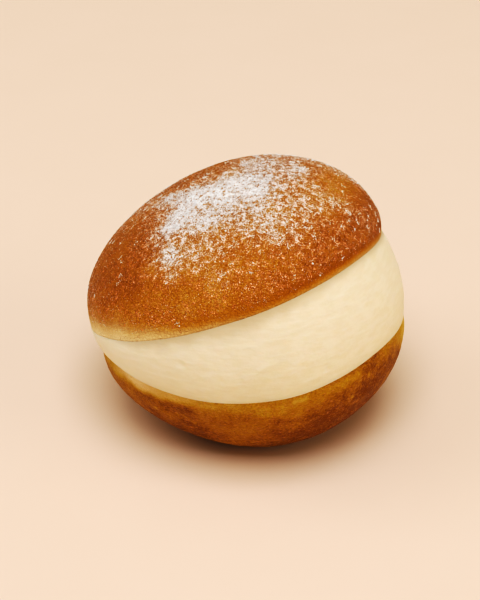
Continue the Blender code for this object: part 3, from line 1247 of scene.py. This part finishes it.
@dataclass(frozen=True)
class BitBatch:
    """One kind of loose sugar: how many bits, how large in millimetres, and where they lie.

    Bits can lie together in small heaps, scattered by some millimetres about the heap's middle.
    """

    kind: BitKind
    count: int
    smallest: float
    largest: float
    finer: int
    seed: int
    favours: float
    together: int = 1
    scatter: float = 0.0

    def shape(self) -> tuple[Array, Array]:
        """One plain bit: an eight-sided stone, with each side split in four for a finer one.

        Returns:
            Its corners, at radius 1, and its three-sided faces.
        """
        corners = [Vector(c) for c in ((1, 0, 0), (-1, 0, 0), (0, 1, 0), (0, -1, 0), (0, 0, 1), (0, 0, -1))]
        faces = [(0, 2, 4), (2, 1, 4), (1, 3, 4), (3, 0, 4), (2, 0, 5), (1, 2, 5), (3, 1, 5), (0, 3, 5)]
        for _ in range(self.finer):
            halves: dict[frozenset[int], int] = {}
            smaller = []
            for face in faces:
                middles = []
                for first, second in zip(face, face[1:] + face[:1]):
                    side = frozenset((first, second))
                    if side not in halves:
                        halves[side] = len(corners)
                        corners.append((corners[first] + corners[second]).normalized())
                    middles.append(halves[side])
                smaller += [(face[0], middles[0], middles[2]), (face[1], middles[1], middles[0])]
                smaller += [(face[2], middles[2], middles[1]), tuple(middles)]
            faces = smaller
        return np.array([corner[:] for corner in corners]), np.array(faces)


@dataclass(frozen=True)
class PowderedSugar:
    """The sugar on the dome: a settled drift with ragged holes, and loose bits round it.

    film_reach and bare_edge are in millimetres from the cut.
    """

    form: BunForm
    finish: SugarFinish
    map: SugarMap
    step: float = 0.18 * MM
    reach: float = 43.0 * MM
    steepest: float = 0.2
    depth: float = 0.30 * MM
    thickest: float = 0.14 * MM
    foot: float = 0.10 * MM
    lump_size: float = 1.5 * MM
    lump: float = 0.45
    fleck_size: float = 0.48 * MM
    fleck: float = 0.85
    film_only: float = 0.40
    film_spread: float = 0.035
    film_cover: Pair = (0.010, 0.62)
    film_reach: Pair = (1.0, 6.0)
    bare_edge: float = 2.0
    core: Pair = (0.50, 0.90)
    core_lack: float = 0.85
    sunk: float = 0.45
    stretch: Pair = (0.65, 1.25)
    lumpy: float = 0.22
    batches: tuple[BitBatch, ...] = (
        BitBatch(BitKind.DUST, 22000, 0.06, 0.11, 0, 11, 1.5),
        BitBatch(BitKind.GRAIN, 4200, 0.09, 0.15, 1, 12, 1.8, 10, 0.40),
        BitBatch(BitKind.LUMP, 260, 0.18, 0.32, 1, 13, 3.0),
    )

    def film(self, skin: Skin) -> Array:
        """How readily the thin film of sugar shows, as a shift of the noise that draws it.

        Args:
            skin: the closed bun's dome.

        Returns:
            The shift: 0 where half of the crust is covered.
        """
        cover = self.map.cover(skin.points) * eased(*self.film_reach, skin.reach)
        cover = np.clip(cover, *self.film_cover)
        return self.film_spread * np.log(cover / (1.0 - cover))

    def build_drift(self, tree: BVHTree, material: Material) -> None:
        """Make the settled drift as closed flakes, each sunk a little into the crust.

        Args:
            tree: the closed bun's dome.
            material: the sugar's finish.
        """
        line = np.arange(-self.reach, self.reach, self.step)
        across, up = np.meshgrid(line, line)
        cover = self.map.cover(np.stack([across, up], axis=-1))
        points = np.zeros((*across.shape, 3))
        square = np.zeros_like(points)
        hit = np.zeros(across.shape, dtype=bool)
        for place in zip(*np.nonzero((cover > self.film_only) & (np.hypot(across, up) < self.reach))):
            start = Vector((across[place], up[place], 2.0 * self.form.crown))
            where, normal, _, _ = tree.ray_cast(start, Vector((0.0, 0.0, -1.0)))
            if where is not None and normal.z > self.steepest:
                points[place] = where
                square[place] = normal
                hit[place] = True
        rough = self.lump * cloud(points[hit], self.lump_size, 2, seed=51.0)
        rough = rough + self.fleck * cloud(points[hit], self.fleck_size, 2, seed=61.0)
        rank = np.full(across.shape, np.inf)
        rank[hit] = np.argsort(np.argsort(rough)) / hit.sum()
        height = np.clip(self.depth * (cover - self.film_only - rank), -self.foot, self.thickest)
        kept = cell_corners(hit).all(axis=-1) & (cell_corners(height).max(axis=-1) > 0.0)
        upper, lower = points + square * height[..., None], points - square * self.foot
        add_piece("sugar_drift", self.flakes("sugar_drift_mesh", upper, lower, kept), material)

    def flakes(self, name: str, upper: Array, lower: Array, kept: Array) -> Mesh:
        """Close a sheet of kept cells with an underside and sides.

        Args:
            name: the mesh's name.
            upper: the upper grid of points.
            lower: the lower grid of points.
            kept: which of the grid's cells are there.

        Returns:
            The mesh, on the opened bun.
        """
        count = upper.shape[0] * upper.shape[1]
        loop = cell_corners(np.arange(count).reshape(upper.shape[:2]))
        quads = [loop[kept], loop[kept][:, ::-1] + count]
        edge = np.pad(kept, 1)
        neighbours = (edge[:-2, 1:-1], edge[1:-1, 2:], edge[2:, 1:-1], edge[1:-1, :-2])
        for side, there in enumerate(neighbours):
            first = loop[..., side][kept & ~there]
            second = loop[..., (side + 1) % 4][kept & ~there]
            quads.append(np.stack([second, first, first + count, second + count], axis=-1))
        used, renamed = np.unique(np.concatenate(quads), return_inverse=True)
        places = np.concatenate([upper.reshape(-1, 3), lower.reshape(-1, 3)])[used]
        places = self.form.opened(places) + self.form.offset
        mesh = bpy.data.meshes.new(name)
        mesh.from_pydata(places.tolist(), [], renamed.reshape(-1, 4).tolist())
        mesh.shade_smooth()
        mesh.update()
        return mesh

    def build_bits(self, batch: BitBatch, skin: Skin, material: Material) -> None:
        """Scatter one kind of loose bits over the dome.

        Args:
            batch: the kind, count and size of the bits.
            skin: the closed bun's dome.
            material: the sugar's finish.
        """
        draw = np.random.default_rng(batch.seed)
        wall = int(np.count_nonzero(skin.reach[:, 0] > self.bare_edge))
        points, square = skin.points[:wall], skin.normals()[:wall]
        beside = np.roll(points, -1, axis=1)
        area = np.linalg.norm(np.cross(points[1:] - points[:-1], beside[:-1] - points[:-1]), axis=-1)
        middle = 0.25 * (points[1:] + points[:-1] + beside[1:] + beside[:-1])
        cover = np.clip(self.map.cover(middle), 0.0, 1.0)
        wanted = area * cover**batch.favours * (1.0 - self.core_lack * eased(*self.core, cover))
        heaps = batch.count // batch.together
        chosen = np.repeat(draw.choice(wanted.size, heaps, p=(wanted / wanted.sum()).ravel()), batch.together)
        row, column = np.unravel_index(chosen, wanted.shape)
        down = np.repeat(draw.random(heaps), batch.together)[:, None]
        side = np.repeat(draw.random(heaps), batch.together)[:, None]
        place = points[row, column] * (1 - down) * (1 - side) + points[row + 1, column] * down * (1 - side)
        place = place + beside[row, column] * (1 - down) * side + beside[row + 1, column] * down * side
        out = square[row, column]
        away = draw.normal(0.0, batch.scatter * MM, place.shape)
        away = away - (away * out).sum(axis=1, keepdims=True) * out
        size = MM * (batch.smallest + (batch.largest - batch.smallest) * draw.random(batch.count) ** 2)
        place = place + away + out * size[:, None] * self.sunk
        corners, faces = batch.shape()
        turned, _ = np.linalg.qr(draw.normal(size=(batch.count, 3, 3)))
        stretch = size[:, None, None] * draw.uniform(*self.stretch, (batch.count, 1, 3))
        lumpy = 1.0 + draw.uniform(-self.lumpy, self.lumpy, (batch.count, len(corners), 1))
        bits = (corners[None] * lumpy * stretch) @ turned + place[:, None]
        bits = self.form.opened(bits) + self.form.offset
        right_way = np.linalg.det(turned)[:, None, None] > 0.0
        sides = np.where(right_way, faces[None], faces[None, :, ::-1])
        sides = sides + (np.arange(batch.count) * len(corners))[:, None, None]
        mesh = bpy.data.meshes.new(batch.kind.value)
        mesh.from_pydata(bits.reshape(-1, 3).tolist(), [], sides.reshape(-1, 3).tolist())
        mesh.update()
        add_piece(batch.kind.value, mesh, material)


@dataclass(frozen=True)
class Stand:
    """Where a lamp or the camera stands: degrees round the object and above the floor, and how far off.

    An azimuth of 0 looks along +Y.
    """

    azimuth: float
    elevation: float
    distance: float

    def hold(self, name: str, data: bpy.types.ID, aim: Vector) -> bpy.types.Object:
        """Put a lamp or a camera in the scene.

        Args:
            name: its name.
            data: the lamp or the lens.
            aim: the point it is aimed at.

        Returns:
            The lamp or the camera.
        """
        around, above = math.radians(self.azimuth), math.radians(self.elevation)
        flat = math.cos(above)
        back = Vector((math.sin(around) * flat, -math.cos(around) * flat, math.sin(above)))
        thing = placed(name, data)
        thing.location = aim + back * self.distance
        thing.rotation_euler = back.to_track_quat("Z", "Y").to_euler()
        return thing


@dataclass(frozen=True)
class SoftBox:
    """A large soft lamp, aimed at the doughnut."""

    name: str
    stand: Stand
    power: float
    tint: Triple = (1.0, 1.0, 1.0)
    size: float = 1.6

    def build(self, aim: Vector) -> None:
        """Put the lamp in the scene.

        Args:
            aim: the point it is aimed at.
        """
        lamp = bpy.data.lights.new(self.name, "AREA")
        lamp.shape = "RECTANGLE"
        lamp.size = lamp.size_y = self.size
        lamp.energy = self.power
        lamp.color = self.tint
        self.stand.hold(self.name, lamp, aim)


@dataclass(frozen=True)
class Studio:
    """The pale floor, the soft light and the camera."""

    floor_finish: FloorFinish
    floor_half: float = 3.0
    floor_drop: float = 0.05 * MM
    ambient: float = 0.32
    ambient_tint: Triple = (1.0, 0.86, 0.54)
    boxes: tuple[SoftBox, ...] = (
        SoftBox("overhead_softbox", Stand(40.0, 70.0, 2.5), 46.3, (0.97, 1.0, 1.07)),
        SoftBox("right_softbox", Stand(110.0, 20.0, 2.5), 13.7, (1.03, 0.92, 0.74)),
        SoftBox("left_softbox", Stand(310.0, 45.0, 2.5), 10.6),
    )
    contrast: tuple[Pair, ...] = (
        (0.02, 0.005), (0.05, 0.0135), (0.10, 0.041), (0.19, 0.128), (0.30, 0.283), (0.45, 0.490),
        (0.65, 0.700),
    )
    camera_stand: Stand = Stand(40.0, 32.0, 0.44)
    lens: float = 91.24
    sensor: float = 36.0
    shift: Pair = (-0.0167, 0.0160)
    aim_height: float = 0.033

    def build_floor(self) -> None:
        """Lay the floor."""
        half, drop = self.floor_half, -self.floor_drop
        mesh = bpy.data.meshes.new("floor")
        corners = [(-half, -half, drop), (half, -half, drop), (half, half, drop), (-half, half, drop)]
        mesh.from_pydata(corners, [], [(0, 1, 2, 3)])
        floor = placed("floor", mesh)
        mesh.materials.append(self.floor_finish.material())

    def build_light(self, aim: Vector) -> None:
        """Set the even light all round and the soft lamps.

        Args:
            aim: the point that the lamps are aimed at.
        """
        world = bpy.data.worlds.new("studio")
        world.use_nodes = True
        sockets = world.node_tree.nodes["Background"].inputs
        sockets["Color"].default_value = (*self.ambient_tint, 1.0)
        sockets["Strength"].default_value = self.ambient
        bpy.context.scene.world = world
        for box in self.boxes:
            box.build(aim)

    def set_contrast(self) -> None:
        """Show the picture with the photograph's own contrast: deep shades, open lights."""
        view = bpy.context.scene.view_settings
        view.view_transform = "Standard"
        view.use_curve_mapping = True
        for shade, shown in self.contrast:
            view.curve_mapping.curves[3].points.new(shade, shown)
        view.curve_mapping.update()

    def build_camera(self, aim: Vector) -> None:
        """Put the camera where the photograph was taken from.

        Args:
            aim: the point on the bun's axis that it looks at.
        """
        lens = bpy.data.cameras.new("camera")
        lens.lens = self.lens
        lens.sensor_width = self.sensor
        lens.shift_x, lens.shift_y = self.shift
        bpy.context.scene.camera = self.camera_stand.hold("camera", lens, aim)

    def build(self, form: BunForm) -> None:
        """Build floor, light and camera.

        Args:
            form: the bun's form, at whose axis they are aimed.
        """
        aim = Vector((form.offset[0], form.offset[1], self.aim_height))
        self.build_floor()
        self.build_light(aim)
        self.build_camera(aim)
        self.set_contrast()


def in_frame(form: BunForm) -> BunForm:
    """Lay a form in the frame, by the lower half's node.

    Args:
        form: the form, round its own axis.

    Returns:
        The same form with its offset.
    """
    low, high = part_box(Half.BOTTOM.value)
    points = BunBottom(form, BOTTOM_CRUST, CrustRelief()).smooth_skin().points.reshape(-1, 3)
    middle = 0.5 * (points.min(axis=0) + points.max(axis=0))
    east, north, _ = 0.5 * (np.array(low) + np.array(high)) - middle
    LOG.info("offset to the frame: %s, %s", east, north)
    return replace(form, offset=(east, north, 0.0))


TOP_COLORS: Table = (
    (0.00, 246, 222, 184), (0.12, 230, 198, 150), (0.27, 206, 164, 108), (0.38, 196, 148, 74),
    (0.50, 187, 131, 34), (0.62, 177, 117, 14), (0.76, 165, 104, 8), (0.88, 149, 91, 6),
    (1.00, 131, 77, 4),
)
BOTTOM_COLORS: Table = (
    (0.00, 242, 218, 178), (0.16, 228, 196, 140), (0.34, 215, 181, 98), (0.50, 202, 165, 48),
    (0.64, 192, 148, 29), (0.80, 178, 128, 16), (0.90, 162, 111, 12), (1.00, 140, 89, 7),
)
TOP_CRUST = CrustFinish("top_crust", TOP_COLORS, dusted=True)
BOTTOM_CRUST = CrustFinish(
    "bottom_crust",
    BOTTOM_COLORS,
    mottle=0.22,
    fleck=0.28,
    # The lower crust's painted highlights are stretched along its wrinkles, with few dark specks of painted
    # shade.
    glint=display(216, 160, 90),
    glint_share=0.50,
    glint_from=0.61,
    glint_size=0.50 * MM,
    glint_stretch=(2.2, 2.2, 1.0),
    shade_speck_share=0.10,
)


def main() -> None:
    """Build the doughnut's pieces in order, then the studio."""
    logging.basicConfig(level=logging.INFO, format="%(message)s")
    form = in_frame(BunForm())
    relief = CrustRelief()
    top = BunTop(form, TOP_CRUST, relief)
    bottom = BunBottom(form, BOTTOM_CRUST, relief)
    cream = CreamFilling(form, CreamFinish())
    sugar = PowderedSugar(form, SugarFinish(), SugarMap())
    bottom.build()
    cream.build()
    skin = top.skin()
    skin.marks["powder"] = sugar.film(skin)
    powder = sugar.finish.material()
    sugar.build_drift(BVHTree.FromPolygons(*skin.shell()), powder)
    for batch in sugar.batches:
        sugar.build_bits(batch, skin, powder)
    top.build(skin)
    Studio(FloorFinish()).build(form)


if __name__ == "__main__":
    main()
